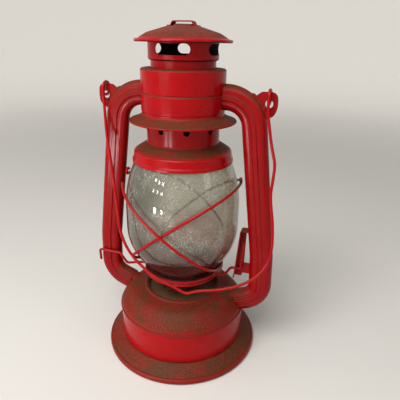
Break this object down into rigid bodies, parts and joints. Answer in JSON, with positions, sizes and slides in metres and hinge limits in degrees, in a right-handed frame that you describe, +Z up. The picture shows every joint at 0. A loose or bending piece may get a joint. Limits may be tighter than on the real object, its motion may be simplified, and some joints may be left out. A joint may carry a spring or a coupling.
{
  "type": "camping lantern",
  "caption": "Tubular kerosene hurricane lantern with a round fount, side air tubes, glass globe in crossed guard wires, vented hood and chimney, and a wire bail.",
  "frame": {"origin": "on the lantern's axis, on the surface under the foot", "axes": "+Z up, +X towards the air tube with the lift bracket, -Y towards the front where the bail hangs"},
  "size_m": [0.1768, 0.1472, 0.2978],
  "materials": {
    "red_enamel": "gloss enamel, worn and dusty",
    "globe_glass": "clear pressed glass with a dust film",
    "burner_metal": "dull and sooty",
    "knob_metal": "worn, rusted",
    "spring_steel": "dull wire",
    "wick_cotton": "woven cotton tape",
    "gasket_rubber": "matt"
  },
  "bodies": {
    "frame": {"foot_ring": "red_enamel", "fount_cup": "red_enamel", "fount_dome": "red_enamel", "tank_lid": "burner_metal", "filler_neck": "red_enamel", "vent_plate": "burner_metal", "burner_body": "burner_metal", "burner_cone": "burner_metal", "wick_tube": "burner_metal", "right_air_tube": "red_enamel", "left_air_tube": "red_enamel", "right_ear": "red_enamel", "left_ear": "red_enamel", "lift_bracket": "red_enamel", "hood": "red_enamel", "chimney_spring": "spring_steel"},
    "globe_carrier": {"globe": "globe_glass", "globe_plate": "burner_metal", "carrier_ring": "red_enamel", "hook_arm": "red_enamel", "lift_arm": "red_enamel", "right_guard": "red_enamel", "left_guard": "red_enamel"},
    "chimney": {"globe_cap": "red_enamel", "flue_tube": "red_enamel", "vent_crown": "red_enamel", "smoke_cap": "red_enamel", "lift_loop": "red_enamel"},
    "bail": {"bail": "red_enamel"},
    "wick_drive": {"wick_shaft": "burner_metal", "wick_spur_inner": "burner_metal", "wick_spur_outer": "burner_metal", "wick_knob": "knob_metal"},
    "wick": {"wick": "wick_cotton"},
    "filler_seal": {"filler_gasket": "gasket_rubber"},
    "filler_cap": {"filler_cap": "red_enamel"}
  },
  "joints": [
    {"name": "globe_lift", "type": "slide", "parent": "frame", "child": "globe_carrier", "axis": [0, 0, 1], "range_m": [0, 0.01], "deforming": ["chimney_spring"]},
    {"name": "chimney_lift", "type": "slide", "parent": "globe_carrier", "child": "chimney", "axis": [0, 0, 1], "range_m": [0, 0.01], "stiffness_N_per_m": 200, "springref_m": -0.01, "deforming": ["chimney_spring"]},
    {"name": "bail_swing", "type": "hinge", "parent": "frame", "child": "bail", "pos_m": [0, 0, 0.24355], "axis": [-1, 0, 0], "range_deg": [0, 295]},
    {"name": "wick_turn", "type": "hinge", "parent": "frame", "child": "wick_drive", "pos_m": [-0.0022, 0.00471, 0.08422], "axis": [0.8619, 0.4019, -0.309], "range_deg": [-90, 90]},
    {"name": "wick_raise", "type": "slide", "parent": "frame", "child": "wick", "axis": [0, 0, 1], "range_m": [-0.0058, 0.0058]},
    {"name": "filler_cap_lift", "type": "slide", "parent": "frame", "child": "filler_seal", "axis": [-0.2113, 0.4532, 0.866], "range_m": [0, 0.005]},
    {"name": "filler_cap_turn", "type": "hinge", "parent": "filler_seal", "child": "filler_cap", "pos_m": [-0.02071, 0.04441, 0.0568], "axis": [-0.2113, 0.4532, 0.866], "range_deg": [0, 720]}
  ],
  "couplings": [
    {"joint": "wick_raise", "follows": "wick_turn", "m_per_rad": -0.0036},
    {"joint": "filler_cap_lift", "follows": "filler_cap_turn", "m_per_rad": 0.000318}
  ]
}
